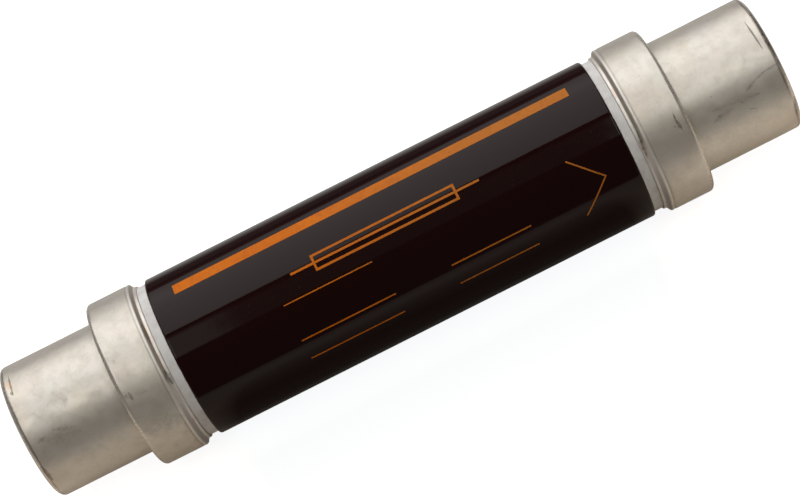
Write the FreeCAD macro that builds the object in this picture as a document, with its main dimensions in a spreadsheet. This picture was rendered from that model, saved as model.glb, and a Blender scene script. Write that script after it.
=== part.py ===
import FreeCAD, Part
import math
import os
import re
import Sketcher

# High-voltage back-up fuse link with a striker: a glazed porcelain barrel filled with quartz sand, a contact
# cap rolled onto each end, silver elements wound on a ribbed ceramic core, and a spring-driven striker pin.
# Frame: the axis lies along X, +X points to the striker end, +Z is up, and the origin is the middle of the barrel.

V = FreeCAD.Vector

# Driving dimensions in millimetres, and plain counts.
sizes = {
    # Outside: the contacts, the distance between their shoulders, and the barrel.
    "shoulder_spacing": 192,
    "contact_radius": 22.25,
    "contact_length": 33.3,
    "contact_rounding": 2.0,
    "cap_wall": 1.5,
    "collar_rounding": 1.6,
    "glaze_radius": 26.75,
    "glaze_setback": 20.1,
    "glaze_rounding": 0.7,
    "ground_depth": 1.1,
    "barrel_wall": 6.0,
    # The collar is rolled down into a groove of the barrel and ends in a short lip.
    "roll_start": 15.0,
    "roll_run": 1.1,
    "roll_depth": 1.6,
    "lip_end": 17.0,
    "lip_clearance": 0.1,
    # Fits: slip_gap parts the pieces that are pushed together by hand, running_gap the pin and its bush.
    "slip_gap": 0.05,
    "running_gap": 0.06,
    "loose_gap": 0.4,
    # Closing parts under each contact cap.
    "inner_cap_wall": 0.6,
    "inner_cap_skirt": 12.5,
    "gasket_thickness": 1.2,
    "gasket_step": 0.6,
    "filling_hole_radius": 3.4,
    "filling_hole_margin": 6.75,
    "plug_head_radius": 4.8,
    "plug_head_thickness": 0.8,
    # The ribbed core and the silver elements on it.
    "rib_count": 6,
    "rib_thickness": 3.0,
    "core_margin": 3.1,
    "notch_depth": 1.0,
    "hub_wall": 2.7,
    "core_bore_radius": 2.0,
    "winding_length": 150,
    "winding_turns": 4,
    "element_count": 3,
    "element_width": 2.4,
    "element_thickness": 0.2,
    "element_neck": 0.9,
    "element_cut_width": 3.0,
    "cuts_per_span": 1,
    "crown_wall": 0.8,
    "crown_hole_radius": 8.6,
    "crown_ring_radius": 12.5,
    "sand_gap": 0.25,
    # The trip wire and the striker.
    "wire_radius": 0.25,
    "anchor_flange_radius": 5.0,
    "anchor_length": 8.0,
    "striker_travel": 30.0,
    "stop_gap": 0.4,
    "pin_radius": 3.0,
    "pin_rounding": 0.8,
    "pin_recess": 0.7,
    "head_radius": 5.6,
    "head_thickness": 3.0,
    "tail_radius": 1.5,
    "tail_clearance": 1.5,
    "opening_radius": 4.2,
    "housing_bore_radius": 6.0,
    "housing_wall": 1.5,
    "housing_flange_radius": 12.0,
    "housing_flange_thickness": 1.0,
    "bush_length": 6.0,
    "seal_thickness": 0.8,
    "spring_set_length": 17.9,
    "spring_radius": 4.0,
    "spring_wire_radius": 0.6,
    "spring_turns": 7,
}

# Sizes that follow from the ones above.
formulas = {
    "shoulder_x": "shoulder_spacing / 2",
    "ground_radius": "glaze_radius - ground_depth",
    "bore_radius": "glaze_radius - barrel_wall",
    "rib_radius": "bore_radius - core_margin",
    "filling_hole_offset": "contact_radius - cap_wall - filling_hole_margin",
    "housing_radius": "housing_bore_radius + housing_wall",
    "hub_radius": "housing_radius + loose_gap + hub_wall",
    "skirt_inner_radius": "ground_radius + slip_gap",
    "skirt_outer_radius": "skirt_inner_radius + inner_cap_wall",
    "collar_inner_radius": "skirt_outer_radius + slip_gap",
    "collar_radius": "collar_inner_radius + cap_wall",
    "roll_inner_start": "roll_start - 0.4 * cap_wall",
    "lip_radius": "collar_radius - roll_depth",
    "lip_inner_radius": "lip_radius - cap_wall",
    "groove_radius": "lip_inner_radius - slip_gap",
    "groove_end": "lip_end + lip_clearance",
    "disc_outer_x": "0 - cap_wall - slip_gap",
    "disc_inner_x": "disc_outer_x - inner_cap_wall",
    "core_end_x": "disc_inner_x - crown_wall",
    "tube_half": "shoulder_x + disc_inner_x - gasket_thickness",
    "core_half": "shoulder_x + core_end_x",
    "span_count": "rib_count * winding_turns",
    "span_advance": "winding_length / span_count",
    "notch_floor_radius": "rib_radius - notch_depth",
    "element_floor_radius": "notch_floor_radius + slip_gap",
    "tip_half": "rib_thickness / 2 + slip_gap",
    "chord_length": "2 * (element_floor_radius * sin(180 deg / rib_count) - tip_half * cos(180 deg / rib_count))",
    "element_slope": "span_advance / (chord_length + 2 * tip_half)",
    "element_run": "element_width * sqrt(1 + element_slope * element_slope)",
    "notch_width": "element_run + 2 * tip_half * element_slope + loose_gap",
    "chord_radius": "element_floor_radius * cos(180 deg / rib_count) + tip_half * sin(180 deg / rib_count)",
    "lug_end_x": "winding_length / 2 - notch_width / 2",
    "bush_front_x": "contact_length - cap_wall - slip_gap - seal_thickness",
    "bush_back_x": "bush_front_x - bush_length",
    "head_front_x": "bush_back_x - stop_gap - striker_travel",
    "head_back_x": "head_front_x - head_thickness",
    "housing_floor_x": "head_back_x - spring_set_length - 2 * slip_gap",
    "housing_back_x": "housing_floor_x - housing_wall",
    "tail_back_x": "housing_floor_x + tail_clearance",
    "groove_flank_foot": "roll_inner_start + roll_run - 2 * slip_gap",
    "groove_flank_top": "groove_flank_foot - roll_run / roll_depth * (ground_radius - groove_radius)",
    "lug_inner_radius": "notch_floor_radius - crown_wall",
    "rib_step_radius": "lug_inner_radius - slip_gap",
    "rib_foot_radius": "hub_radius - rib_thickness",
    "rib_step_x": "lug_end_x - loose_gap",
    "first_notch_x": "span_advance - winding_length / 2",
}

doc = FreeCAD.newDocument("FuseLink")
sheet = doc.addObject("Spreadsheet::Sheet", "Sizes")
cells = [(name, str(number)) for name, number in sizes.items()]
cells += [(name, "=" + formula) for name, formula in formulas.items()]
for row, (name, content) in enumerate(cells, 1):
    sheet.set(f"A{row}", name)
    sheet.set(f"B{row}", content)
    sheet.setAlias(f"B{row}", name)
doc.recompute()


def bound(formula):
    """The same formula with every size name pointing into the sheet."""
    return re.sub(r"[a-z]+_[a-z_]+", lambda found: "Sizes." + found.group(), formula)


def value(formula):
    """The present value of a formula."""
    result = sheet.evalExpression(bound(formula))
    return float(getattr(result, "Value", result))


def new_body(label, end=None):
    """A body in the middle frame, or in the frame of one end: origin on its shoulder plane, +X outward."""
    body = doc.addObject("PartDesign::Body", label)
    body.Label = label
    if end == "striker":
        body.setExpression("Placement.Base.x", bound("shoulder_x"))
    if end == "plain":
        body.Placement = FreeCAD.Placement(V(0, 0, 0), FreeCAD.Rotation(V(0, 0, 1), 180))
        body.setExpression("Placement.Base.x", bound("0 - shoulder_x"))
    return body


def new_sketch(body, name, role):
    """A sketch on one of the body's own origin planes."""
    sketch = body.newObject("Sketcher::SketchObject", name)
    plane = next(feature for feature in body.Origin.OriginFeatures if feature.Role == role)
    sketch.AttachmentSupport = [(plane, "")]
    sketch.MapMode = "FlatFace"
    return sketch


def axis_of(body):
    """The body's own X axis."""
    return next(feature for feature in body.Origin.OriginFeatures if feature.Role == "X_Axis")


def draw_polygon(sketch, corners):
    """A closed outline whose corners are pairs of formulas; "0" puts a corner on the axis of the sketch."""
    first = sketch.GeometryCount
    points = [V(value(across), value(up), 0) for across, up in corners]
    for start, end in zip(points, points[1:] + points[:1]):
        sketch.addGeometry(Part.LineSegment(start, end), False)
    for index in range(len(points)):
        following = (index + 1) % len(points)
        sketch.addConstraint(Sketcher.Constraint("Coincident", first + index, 2, first + following, 1))
    for index, (corner, point) in enumerate(zip(corners, points)):
        axes = (("DistanceX", corner[0], point.x, -2), ("DistanceY", corner[1], point.y, -1))
        for kind, formula, present, axis in axes:
            if formula == "0":
                sketch.addConstraint(Sketcher.Constraint("PointOnObject", first + index, 1, axis))
                continue
            number = sketch.addConstraint(Sketcher.Constraint(kind, -1, 1, first + index, 1, present))
            sketch.setExpression(f"Constraints[{number}]", bound(formula))


def draw_circle(sketch, radius, across="0", up="0"):
    """A circle whose radius and centre are formulas."""
    index = sketch.addGeometry(Part.Circle(V(value(across), value(up), 0), V(0, 0, 1), value(radius)), False)
    number = sketch.addConstraint(Sketcher.Constraint("Radius", index, value(radius)))
    sketch.setExpression(f"Constraints[{number}]", bound(radius))
    for kind, formula, axis in (("DistanceX", across, -2), ("DistanceY", up, -1)):
        if formula == "0":
            sketch.addConstraint(Sketcher.Constraint("PointOnObject", index, 3, axis))
            continue
        number = sketch.addConstraint(Sketcher.Constraint(kind, -1, 1, index, 3, value(formula)))
        sketch.setExpression(f"Constraints[{number}]", bound(formula))


def pad(body, name, sketch, length):
    """A pad with half of its length to each side of the sketch."""
    feature = body.newObject("PartDesign::Pad", name)
    feature.Profile = sketch
    feature.Midplane = True
    feature.setExpression("Length", bound(length))
    doc.recompute()
    return feature


def pocket(body, name, sketch, length=None):
    """A pocket with half of its length to each side of the sketch, or through everything."""
    before = body.Shape.Volume
    feature = body.newObject("PartDesign::Pocket", name)
    feature.Profile = sketch
    feature.Midplane = True
    if length is None:
        feature.Type = 1
    else:
        feature.setExpression("Length", bound(length))
    doc.recompute()
    if not body.Shape.Volume < before:
        raise RuntimeError(f"{name} removes nothing from {body.Label}")
    return feature


def around(body, name, original, count):
    """Copies of one feature, evenly spaced around the axis."""
    pattern = body.newObject("PartDesign::PolarPattern", name)
    pattern.Originals = [original]
    pattern.Axis = (axis_of(body), [""])
    pattern.Angle = 360
    pattern.setExpression("Occurrences", bound(count))
    body.Tip = pattern
    doc.recompute()
    return pattern


def turned(label, corners, end=None):
    """A body turned about the X axis from an outline of corners (along, radius)."""
    body = new_body(label, end)
    profile = new_sketch(body, "Profile", "XZ_Plane")
    draw_polygon(profile, corners)
    turning = body.newObject("PartDesign::Revolution", "Turned")
    turning.Profile = profile
    turning.ReferenceAxis = (profile, ["H_Axis"])
    turning.Angle = 360
    doc.recompute()
    return body


def rounded(along, out, radius, chords=2):
    """Corners of a rounded rim at (along, out), from its end face to its wall."""
    corners = []
    for number in range(chords + 1):
        turn = f"({90 * number / chords} deg)"
        corners.append((f"{along} - {radius} * (1 - cos{turn})", f"{out} - {radius} * (1 - sin{turn})"))
    return corners


# Porcelain barrel: glazed between the caps, ground at the ends, with a ground groove for each rolled lip.
half_profile = [
    ("tube_half", "bore_radius"),
    ("tube_half", "ground_radius"),
    ("shoulder_x - groove_flank_top", "ground_radius"),
    ("shoulder_x - groove_flank_foot", "groove_radius"),
    ("shoulder_x - groove_end", "groove_radius"),
    ("shoulder_x - groove_end", "ground_radius"),
    ("shoulder_x - glaze_setback", "ground_radius"),
]
half_profile += rounded("shoulder_x - glaze_setback", "glaze_radius", "glaze_rounding", 1)
mirrored_profile = [(f"0 - ({along})", out) for along, out in reversed(half_profile)]
turned("porcelain_barrel", half_profile + mirrored_profile)

# Contact caps: drawn from nickel-plated copper, a wide collar over the barrel and a narrower contact, with the
# rim rolled into the groove. The striker's cap has a hole in its end.
for end, opening in (("plain", "0"), ("striker", "opening_radius")):
    outside = [("contact_length", opening)]
    outside += rounded("contact_length", "contact_radius", "contact_rounding")
    outside += [("0", "contact_radius")]
    outside += rounded("0", "collar_radius", "collar_rounding")
    outside += [
        ("0 - roll_start", "collar_radius"),
        ("0 - roll_start - roll_run", "lip_radius"),
        ("0 - lip_end", "lip_radius"),
    ]
    inside = [
        ("0 - lip_end", "lip_inner_radius"),
        ("0 - roll_inner_start - roll_run", "lip_inner_radius"),
        ("0 - roll_inner_start", "collar_inner_radius"),
        ("0 - cap_wall", "collar_inner_radius"),
        ("0 - cap_wall", "contact_radius - cap_wall"),
        ("contact_length - cap_wall", "contact_radius - cap_wall"),
        ("contact_length - cap_wall", opening),
    ]
    turned(f"contact_cap_{end}", outside + inside, end)

# Inner caps: thin copper caps pushed over the ground ends; they close the bore and carry the core. The plain
# one has the filling hole, the other one the hole for the striker housing.
for end, opening in (("plain", "0"), ("striker", "housing_radius + slip_gap")):
    inner_cap = turned(f"inner_cap_{end}", [
        ("disc_outer_x", opening),
        ("disc_outer_x", "skirt_outer_radius"),
        ("0 - inner_cap_skirt", "skirt_outer_radius"),
        ("0 - inner_cap_skirt", "skirt_inner_radius"),
        ("disc_inner_x", "skirt_inner_radius"),
        ("disc_inner_x", opening),
    ], end)
    if end == "plain":
        hole = new_sketch(inner_cap, "FillingHole", "YZ_Plane")
        draw_circle(hole, "filling_hole_radius", "filling_hole_offset")
        pocket(inner_cap, "FillingHoleCut", hole)

# Plug that closes the filling hole after the sand is in.
plug = turned("filling_plug", [
    ("disc_inner_x", "0"),
    ("disc_inner_x", "filling_hole_radius - slip_gap"),
    ("disc_outer_x", "filling_hole_radius - slip_gap"),
    ("disc_outer_x", "plug_head_radius"),
    ("disc_outer_x + plug_head_thickness", "plug_head_radius"),
    ("disc_outer_x + plug_head_thickness", "0"),
], "plain")
plug.setExpression("Placement.Base.y", bound("0 - filling_hole_offset"))

# Gaskets between the ground end faces of the barrel and the inner caps.
for end in ("plain", "striker"):
    turned(f"end_gasket_{end}", [
        ("disc_inner_x - gasket_thickness", "bore_radius + gasket_step"),
        ("disc_inner_x - gasket_thickness", "ground_radius"),
        ("disc_inner_x", "ground_radius"),
        ("disc_inner_x", "bore_radius + gasket_step"),
    ], end)

# Ribbed core: a ceramic star with a bored hub. Each rib has a row of notches that space the elements, and a
# lower step at each end for the lugs of the crowns.
core = new_body("ribbed_core")
hub = new_sketch(core, "Hub", "YZ_Plane")
draw_circle(hub, "hub_radius")
pad(core, "HubPad", hub, "2 * core_half")
rib = new_sketch(core, "Rib", "XZ_Plane")
draw_polygon(rib, [
    ("0 - core_half", "rib_foot_radius"),
    ("core_half", "rib_foot_radius"),
    ("core_half", "rib_step_radius"),
    ("rib_step_x", "rib_step_radius"),
    ("rib_step_x", "rib_radius"),
    ("0 - rib_step_x", "rib_radius"),
    ("0 - rib_step_x", "rib_step_radius"),
    ("0 - core_half", "rib_step_radius"),
])
rib_pad = pad(core, "RibPad", rib, "rib_thickness")
around(core, "Ribs", rib_pad, "rib_count")
notch = new_sketch(core, "Notch", "XZ_Plane")
draw_polygon(notch, [
    ("first_notch_x - notch_width / 2", "notch_floor_radius"),
    ("first_notch_x + notch_width / 2", "notch_floor_radius"),
    ("first_notch_x + notch_width / 2", "rib_radius + notch_depth"),
    ("first_notch_x - notch_width / 2", "rib_radius + notch_depth"),
])
notch_cut = pocket(core, "NotchCut", notch, "2 * rib_thickness")
along_rib = core.newObject("PartDesign::LinearPattern", "AlongRib")
along_rib.Direction = (axis_of(core), [""])
along_rib.setExpression("Length", bound("winding_length - 2 * span_advance"))
along_rib.setExpression("Occurrences", bound("span_count - 1"))
each_rib = core.newObject("PartDesign::PolarPattern", "EachRib")
each_rib.Axis = (axis_of(core), [""])
each_rib.Angle = 360
each_rib.setExpression("Occurrences", bound("rib_count"))
notches = core.newObject("PartDesign::MultiTransform", "Notches")
notches.Originals = [notch_cut]
notches.Transformations = [along_rib, each_rib]
core.Tip = notches
doc.recompute()
bore = new_sketch(core, "Bore", "YZ_Plane")
draw_circle(bore, "core_bore_radius")
pocket(core, "BoreCut", bore)
seat = new_sketch(core, "HousingSeat", "XZ_Plane")
draw_polygon(seat, [
    ("shoulder_x + housing_back_x - loose_gap", "0"),
    ("core_half + slip_gap", "0"),
    ("core_half + slip_gap", "housing_radius + loose_gap"),
    ("shoulder_x + housing_back_x - loose_gap", "housing_radius + loose_gap"),
])
seat_cut = core.newObject("PartDesign::Groove", "HousingSeatCut")
seat_cut.Profile = seat
seat_cut.ReferenceAxis = (seat, ["H_Axis"])
seat_cut.Angle = 360
doc.recompute()

# Crowns: stamped copper rings at the ends of the core. Their lugs are folded over the ribs, the elements are
# welded to the lugs, and the ring is pressed against the inner cap.
for end in ("plain", "striker"):
    crown = turned(f"element_crown_{end}", [
        ("core_end_x", "crown_hole_radius"),
        ("core_end_x", "crown_ring_radius"),
        ("disc_inner_x", "crown_ring_radius"),
        ("disc_inner_x", "crown_hole_radius"),
    ], end)
    lug = new_sketch(crown, "Lug", "XZ_Plane")
    draw_polygon(lug, [
        ("disc_inner_x", "crown_ring_radius - crown_wall"),
        ("disc_inner_x", "notch_floor_radius"),
        ("lug_end_x - shoulder_x", "notch_floor_radius"),
        ("lug_end_x - shoulder_x", "lug_inner_radius"),
        ("core_end_x", "lug_inner_radius"),
        ("core_end_x", "crown_ring_radius - crown_wall"),
    ])
    lug_pad = pad(crown, "LugPad", lug, "rib_thickness")
    around(crown, "Lugs", lug_pad, "rib_count")


def closed_solid(faces):
    """The solid inside a closed skin of faces."""
    skin = Part.Shell(faces)
    skin.sewShape()
    solid = Part.Solid(skin)
    if solid.Volume < 0:
        solid.reverse()
    return solid


def element_path(start_rib):
    """Corners of one element: for each rib two folds at its tip, as (angle, x, corner radius, fold angle)."""
    ribs = int(round(value("rib_count")))
    spans = int(round(value("span_count")))
    tip_angle = math.atan2(value("tip_half"), value("element_floor_radius"))
    reach = math.hypot(value("tip_half"), value("element_floor_radius"))
    drift = value("tip_half") * value("element_slope")
    corners = []
    for step in range(spans + 1):
        angle = 2 * math.pi * (start_rib + step) / ribs
        x = step * value("span_advance") - value("winding_length") / 2
        for side in (-1, 1):
            corners.append((angle + side * tip_angle, x + side * drift, reach))
    return corners


def edge_points(start, end, side, cuts, flank):
    """Points of one long edge between two folds, with triangular cuts that leave a narrow neck."""
    half_run = value("element_run") / 2
    cut_depth = (value("element_width") - value("element_neck")) / value("element_width") * half_run
    points = []
    for number in range(cuts):
        middle = (number + 0.5) / cuts
        for offset, depth in ((-flank, 0), (0, cut_depth), (flank, 0)):
            point = start + (end - start) * (middle + offset)
            points.append(point + V(side * (half_run - depth), 0, 0))
    return points


def element_solid(start_rib):
    """One silver strip as a closed skin of flat faces: folded at each rib tip, cut between the ribs."""
    half_run = value("element_run") / 2
    thickness = value("element_thickness")
    cuts = int(round(value("cuts_per_span")))
    flank = value("element_cut_width") / 2 / value("chord_length")
    path = element_path(start_rib)
    inner = [V(x, -reach * math.sin(angle), reach * math.cos(angle)) for angle, x, reach in path]
    normals = []
    for start, end in zip(inner, inner[1:]):
        across = V(0, end.y - start.y, end.z - start.z)
        normals.append(V(0, across.z, -across.y).normalize())
    outer = []
    for index, point in enumerate(inner):
        before = normals[max(index - 1, 0)]
        after = normals[min(index, len(normals) - 1)]
        mitre = (before + after).normalize()
        outer.append(point + mitre * (thickness / mitre.dot(after)))
    faces = []
    for index, normal in enumerate(normals):
        cut_here = cuts if index % 2 == 1 else 0
        outlines = {}
        for side in (-1, 1):
            low = edge_points(inner[index], inner[index + 1], side, cut_here, flank)
            shift = V(side * half_run, 0, 0)
            lower = [inner[index] + shift] + low + [inner[index + 1] + shift]
            upper = [outer[index] + shift] + [p + normal * thickness for p in low] + [outer[index + 1] + shift]
            outlines[side] = (lower, upper)
            for a, b, c, d in zip(lower, lower[1:], upper[1:], upper):
                faces.append(Part.Face(Part.makePolygon([a, b, c, a])))
                faces.append(Part.Face(Part.makePolygon([a, c, d, a])))
        for layer in (0, 1):
            ring = outlines[1][layer] + outlines[-1][layer][::-1]
            faces.append(Part.Face(Part.makePolygon(ring + ring[:1])))
    for inner_end, outer_end in ((inner[0], outer[0]), (inner[-1], outer[-1])):
        shift = V(half_run, 0, 0)
        ring = [inner_end + shift, outer_end + shift, outer_end - shift, inner_end - shift]
        faces.append(Part.Face(Part.makePolygon(ring + ring[:1])))
    return closed_solid(faces)


# Fuse elements: notched silver strips in parallel, wound over the ribs as a helix with several starts. They
# are built from flat faces because every span lies in a plane of its own.
rib_step = int(round(value("rib_count"))) // int(round(value("element_count")))
for number in range(int(round(value("element_count")))):
    element = doc.addObject("Part::Feature", f"fuse_element_{number + 1}")
    element.Label = f"fuse_element_{number + 1}"
    element.Shape = element_solid(number * rib_step)

# Quartz sand: everything between the barrel and the core, less the thin space that the elements take up.
sand = new_body("quartz_sand")
grain = new_sketch(sand, "Fill", "YZ_Plane")
draw_circle(grain, "bore_radius - slip_gap")
pad(sand, "FillPad", grain, "2 * tube_half")
hub_room = new_sketch(sand, "HubRoom", "YZ_Plane")
draw_circle(hub_room, "hub_radius + slip_gap")
pocket(sand, "HubRoomCut", hub_room)
rib_room = new_sketch(sand, "RibRoom", "XZ_Plane")
draw_polygon(rib_room, [
    ("0 - tube_half - slip_gap", "rib_foot_radius"),
    ("tube_half + slip_gap", "rib_foot_radius"),
    ("tube_half + slip_gap", "rib_radius + slip_gap"),
    ("0 - tube_half - slip_gap", "rib_radius + slip_gap"),
])
rib_room_cut = pocket(sand, "RibRoomCut", rib_room, "rib_thickness + 4 * slip_gap")
around(sand, "RibRooms", rib_room_cut, "rib_count")
element_room = new_sketch(sand, "ElementRoom", "YZ_Plane")
for distance in ("(chord_radius - sand_gap)", "(chord_radius + element_thickness + sand_gap)"):
    corners = []
    for number in range(int(round(value("rib_count")))):
        turn = f"(360 deg * {number} / rib_count)"
        reach = f"{distance} / cos(180 deg / rib_count)"
        corners.append((f"{reach} * sin{turn}", f"{reach} * cos{turn}"))
    draw_polygon(element_room, corners)
pocket(sand, "ElementRoomCut", element_room, "winding_length + notch_width")

# Trip wire: a thin resistance wire through the core's bore, from the anchor to the tail of the striker pin.
turned("trip_wire", [
    ("0 - shoulder_x - disc_inner_x", "0"),
    ("0 - shoulder_x - disc_inner_x", "wire_radius"),
    ("shoulder_x + tail_back_x - slip_gap", "wire_radius"),
    ("shoulder_x + tail_back_x - slip_gap", "0"),
])

# Anchor: a brass bush in the plain end of the core that holds the trip wire against the inner cap.
turned("wire_anchor", [
    ("disc_inner_x", "wire_radius + slip_gap"),
    ("disc_inner_x", "anchor_flange_radius"),
    ("core_end_x", "anchor_flange_radius"),
    ("core_end_x", "core_bore_radius - slip_gap"),
    ("core_end_x - anchor_length", "core_bore_radius - slip_gap"),
    ("core_end_x - anchor_length", "wire_radius + slip_gap"),
], "plain")

# Striker housing: a steel tube through the inner cap, with a flange welded to it and a floor that carries the
# spring. The trip wire comes in through the hole in the floor.
turned("striker_housing", [
    ("housing_back_x", "wire_radius + loose_gap"),
    ("housing_back_x", "housing_radius"),
    ("disc_outer_x", "housing_radius"),
    ("disc_outer_x", "housing_flange_radius"),
    ("disc_outer_x + housing_flange_thickness", "housing_flange_radius"),
    ("disc_outer_x + housing_flange_thickness", "housing_radius"),
    ("bush_front_x", "housing_radius"),
    ("bush_front_x", "housing_bore_radius"),
    ("housing_floor_x", "housing_bore_radius"),
    ("housing_floor_x", "wire_radius + loose_gap"),
], "striker")

# Guide bush in the mouth of the housing: it guides the pin and stops its head at the end of the travel.
turned("guide_bush", [
    ("bush_back_x", "pin_radius + running_gap"),
    ("bush_back_x", "housing_bore_radius - slip_gap"),
    ("bush_front_x", "housing_bore_radius - slip_gap"),
    ("bush_front_x", "pin_radius + running_gap"),
], "striker")

# Seal ring between the guide bush and the end of the contact cap.
turned("opening_seal", [
    ("bush_front_x", "pin_radius + loose_gap"),
    ("bush_front_x", "housing_radius"),
    ("bush_front_x + seal_thickness", "housing_radius"),
    ("bush_front_x + seal_thickness", "pin_radius + loose_gap"),
], "striker")

# Striker pin: the head slides in the housing, the shaft in the bush, and the tail reaches back to the wire.
shaft_end = rounded("contact_length - pin_recess", "pin_radius", "pin_rounding", 1)
turned("striker_pin", [
    ("tail_back_x", "0"),
    ("tail_back_x", "tail_radius"),
    ("head_back_x", "tail_radius"),
    ("head_back_x", "head_radius"),
    ("head_front_x", "head_radius"),
    ("head_front_x", "pin_radius"),
] + shaft_end[::-1] + [
    ("contact_length - pin_recess", "0"),
], "striker")


def coil_solid():
    """A coil of round wire as a closed skin of flat faces: twelve bends to a turn, a four-sided section."""
    bends = int(round(12 * value("spring_turns")))
    rise = value("spring_set_length - 2 * spring_wire_radius") / bends
    rings = []
    for bend in range(bends + 1):
        angle = 2 * math.pi * bend / 12
        outward = V(0, math.sin(angle), math.cos(angle))
        centre = V(rise * bend, 0, 0) + outward * value("spring_radius")
        arms = (V(1, 0, 0), outward, V(-1, 0, 0), outward * -1)
        rings.append([centre + arm * value("spring_wire_radius") for arm in arms])
    faces = [Part.Face(Part.makePolygon(ring + ring[:1])) for ring in (rings[0], rings[-1])]
    for ring, following in zip(rings, rings[1:]):
        for side in range(4):
            a, b = ring[side], ring[(side + 1) % 4]
            c, d = following[(side + 1) % 4], following[side]
            faces.append(Part.Face(Part.makePolygon([a, b, c, a])))
            faces.append(Part.Face(Part.makePolygon([a, c, d, a])))
    return closed_solid(faces)


# Striker spring: a steel compression spring, set between the floor of the housing and the head of the pin.
spring = doc.addObject("Part::Feature", "striker_spring")
spring.Label = "striker_spring"
spring.Shape = coil_solid()
spring.Placement.Base.x = value("shoulder_x + housing_floor_x + slip_gap + spring_wire_radius")

# Every piece is tested and written to a file of its own.
pieces = [thing for thing in doc.Objects if thing.isDerivedFrom("PartDesign::Body")]
pieces += [thing for thing in doc.Objects if thing.TypeId == "Part::Feature"]
for thing in doc.Objects:
    if "Invalid" in thing.State or "Error" in thing.State:
        raise RuntimeError(f"{thing.Label}: {thing.State}")
for piece in pieces:
    if piece.Shape.isNull() or not piece.Shape.isValid() or len(piece.Shape.Solids) != 1:
        raise RuntimeError(f"{piece.Label} isn't one sound solid")
os.makedirs("parts", exist_ok=True)
for piece in pieces:
    piece.Shape.exportStep(f"parts/{piece.Label}.step")
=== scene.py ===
import math

import bmesh
import bpy
from mathutils import Matrix, Vector, noise


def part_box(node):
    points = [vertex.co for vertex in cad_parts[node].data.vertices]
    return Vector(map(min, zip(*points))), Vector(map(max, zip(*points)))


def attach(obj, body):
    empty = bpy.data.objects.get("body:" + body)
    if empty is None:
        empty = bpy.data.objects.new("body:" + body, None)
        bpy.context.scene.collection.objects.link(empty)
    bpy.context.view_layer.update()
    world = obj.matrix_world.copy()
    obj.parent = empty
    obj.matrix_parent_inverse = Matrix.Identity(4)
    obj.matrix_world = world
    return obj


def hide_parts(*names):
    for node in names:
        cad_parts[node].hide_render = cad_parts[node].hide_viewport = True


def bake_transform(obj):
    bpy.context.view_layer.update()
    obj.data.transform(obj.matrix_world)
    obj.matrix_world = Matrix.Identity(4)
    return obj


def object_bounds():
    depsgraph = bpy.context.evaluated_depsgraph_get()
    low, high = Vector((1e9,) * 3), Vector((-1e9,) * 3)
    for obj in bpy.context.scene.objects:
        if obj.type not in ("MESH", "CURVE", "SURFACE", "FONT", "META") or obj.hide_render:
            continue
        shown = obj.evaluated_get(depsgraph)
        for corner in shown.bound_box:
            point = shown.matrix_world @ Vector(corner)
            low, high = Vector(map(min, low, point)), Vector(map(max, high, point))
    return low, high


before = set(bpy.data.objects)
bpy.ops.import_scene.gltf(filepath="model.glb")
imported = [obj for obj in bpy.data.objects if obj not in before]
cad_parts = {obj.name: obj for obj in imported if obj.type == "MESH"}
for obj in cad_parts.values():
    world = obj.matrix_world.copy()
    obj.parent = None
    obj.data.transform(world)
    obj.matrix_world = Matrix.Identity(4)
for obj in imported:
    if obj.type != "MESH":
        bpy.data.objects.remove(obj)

cad_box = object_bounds()
MM = 0.001

# Camera: square to the link's axis, 59 degrees above the table, close enough for the near rims to bulge, and
# turned so that the striker end rises to the right.
camera_distance = 0.85
camera_height_angle = math.radians(59)
camera_side_step = 0.012
camera_roll = math.radians(26.73)
aim = Vector((0.00008, 0, 0))
picture_width_at_link = 0.2501
sensor_width = 36


def put(name, data):
    """An object in the scene, made of that mesh, lamp or camera."""
    thing = bpy.data.objects.new(name, data)
    bpy.context.scene.collection.objects.link(thing)
    return thing


def standing(place, across, upward, backward):
    """The matrix of an object at that place whose own X, Y and Z axes point across, upward and backward."""
    return Matrix.Translation(place) @ Matrix((across, upward, backward)).transposed().to_4x4()


toward_camera = Vector((0, -math.cos(camera_height_angle), math.sin(camera_height_angle)))
camera_place = toward_camera * camera_distance + Vector((camera_side_step, 0, 0))
forward = (aim - camera_place).normalized()
along_link = Vector((1, 0, 0))
level_right = (along_link - forward * forward.dot(along_link)).normalized()
level_up = level_right.cross(forward)
right = level_right * math.cos(camera_roll) - level_up * math.sin(camera_roll)
up = level_right * math.sin(camera_roll) + level_up * math.cos(camera_roll)
camera_data = bpy.data.cameras.new("camera")
camera_data.sensor_width = sensor_width
camera_data.lens = sensor_width * camera_distance / picture_width_at_link
camera_data.clip_end = 50
camera = put("camera", camera_data)
camera.matrix_world = standing(camera_place, right, up, -forward)
bpy.context.scene.camera = camera
bpy.context.scene.view_settings.view_transform = "Standard"

# Table and lights: a pale table that the camera sees as white, a softbox behind and above the link, a
# brighter one high in front of it with a flap before its middle, and a dim room. The lamps' edges show in the
# glaze.


def add(tree, kind, settings=None, **inputs):
    """A shader node. Each input is a value or the socket that feeds it.

    An input is given by its name, with _ for a space, or as i and its number."""
    node = tree.nodes.new("ShaderNode" + kind)
    for name, setting in (settings or {}).items():
        setattr(node, name, setting)
    for name, given in inputs.items():
        numbered = name[0] == "i" and name[1:].isdigit()
        socket = node.inputs[int(name[1:])] if numbered else node.inputs[name.replace("_", " ")]
        if isinstance(given, bpy.types.NodeSocket):
            tree.links.new(given, socket)
        else:
            socket.default_value = given
    return node


def math_node(tree, operation, *operands):
    """The result of one math operation."""
    numbered = {f"i{n}": given for n, given in enumerate(operands)}
    return add(tree, "Math", {"operation": operation}, **numbered).outputs[0]


def vector_node(tree, operation, first, second):
    """The result of one vector operation."""
    node = add(tree, "VectorMath", {"operation": operation}, i0=first, i1=second)
    return node.outputs["Value" if operation in ("DOT_PRODUCT", "DISTANCE", "LENGTH") else "Vector"]


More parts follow.
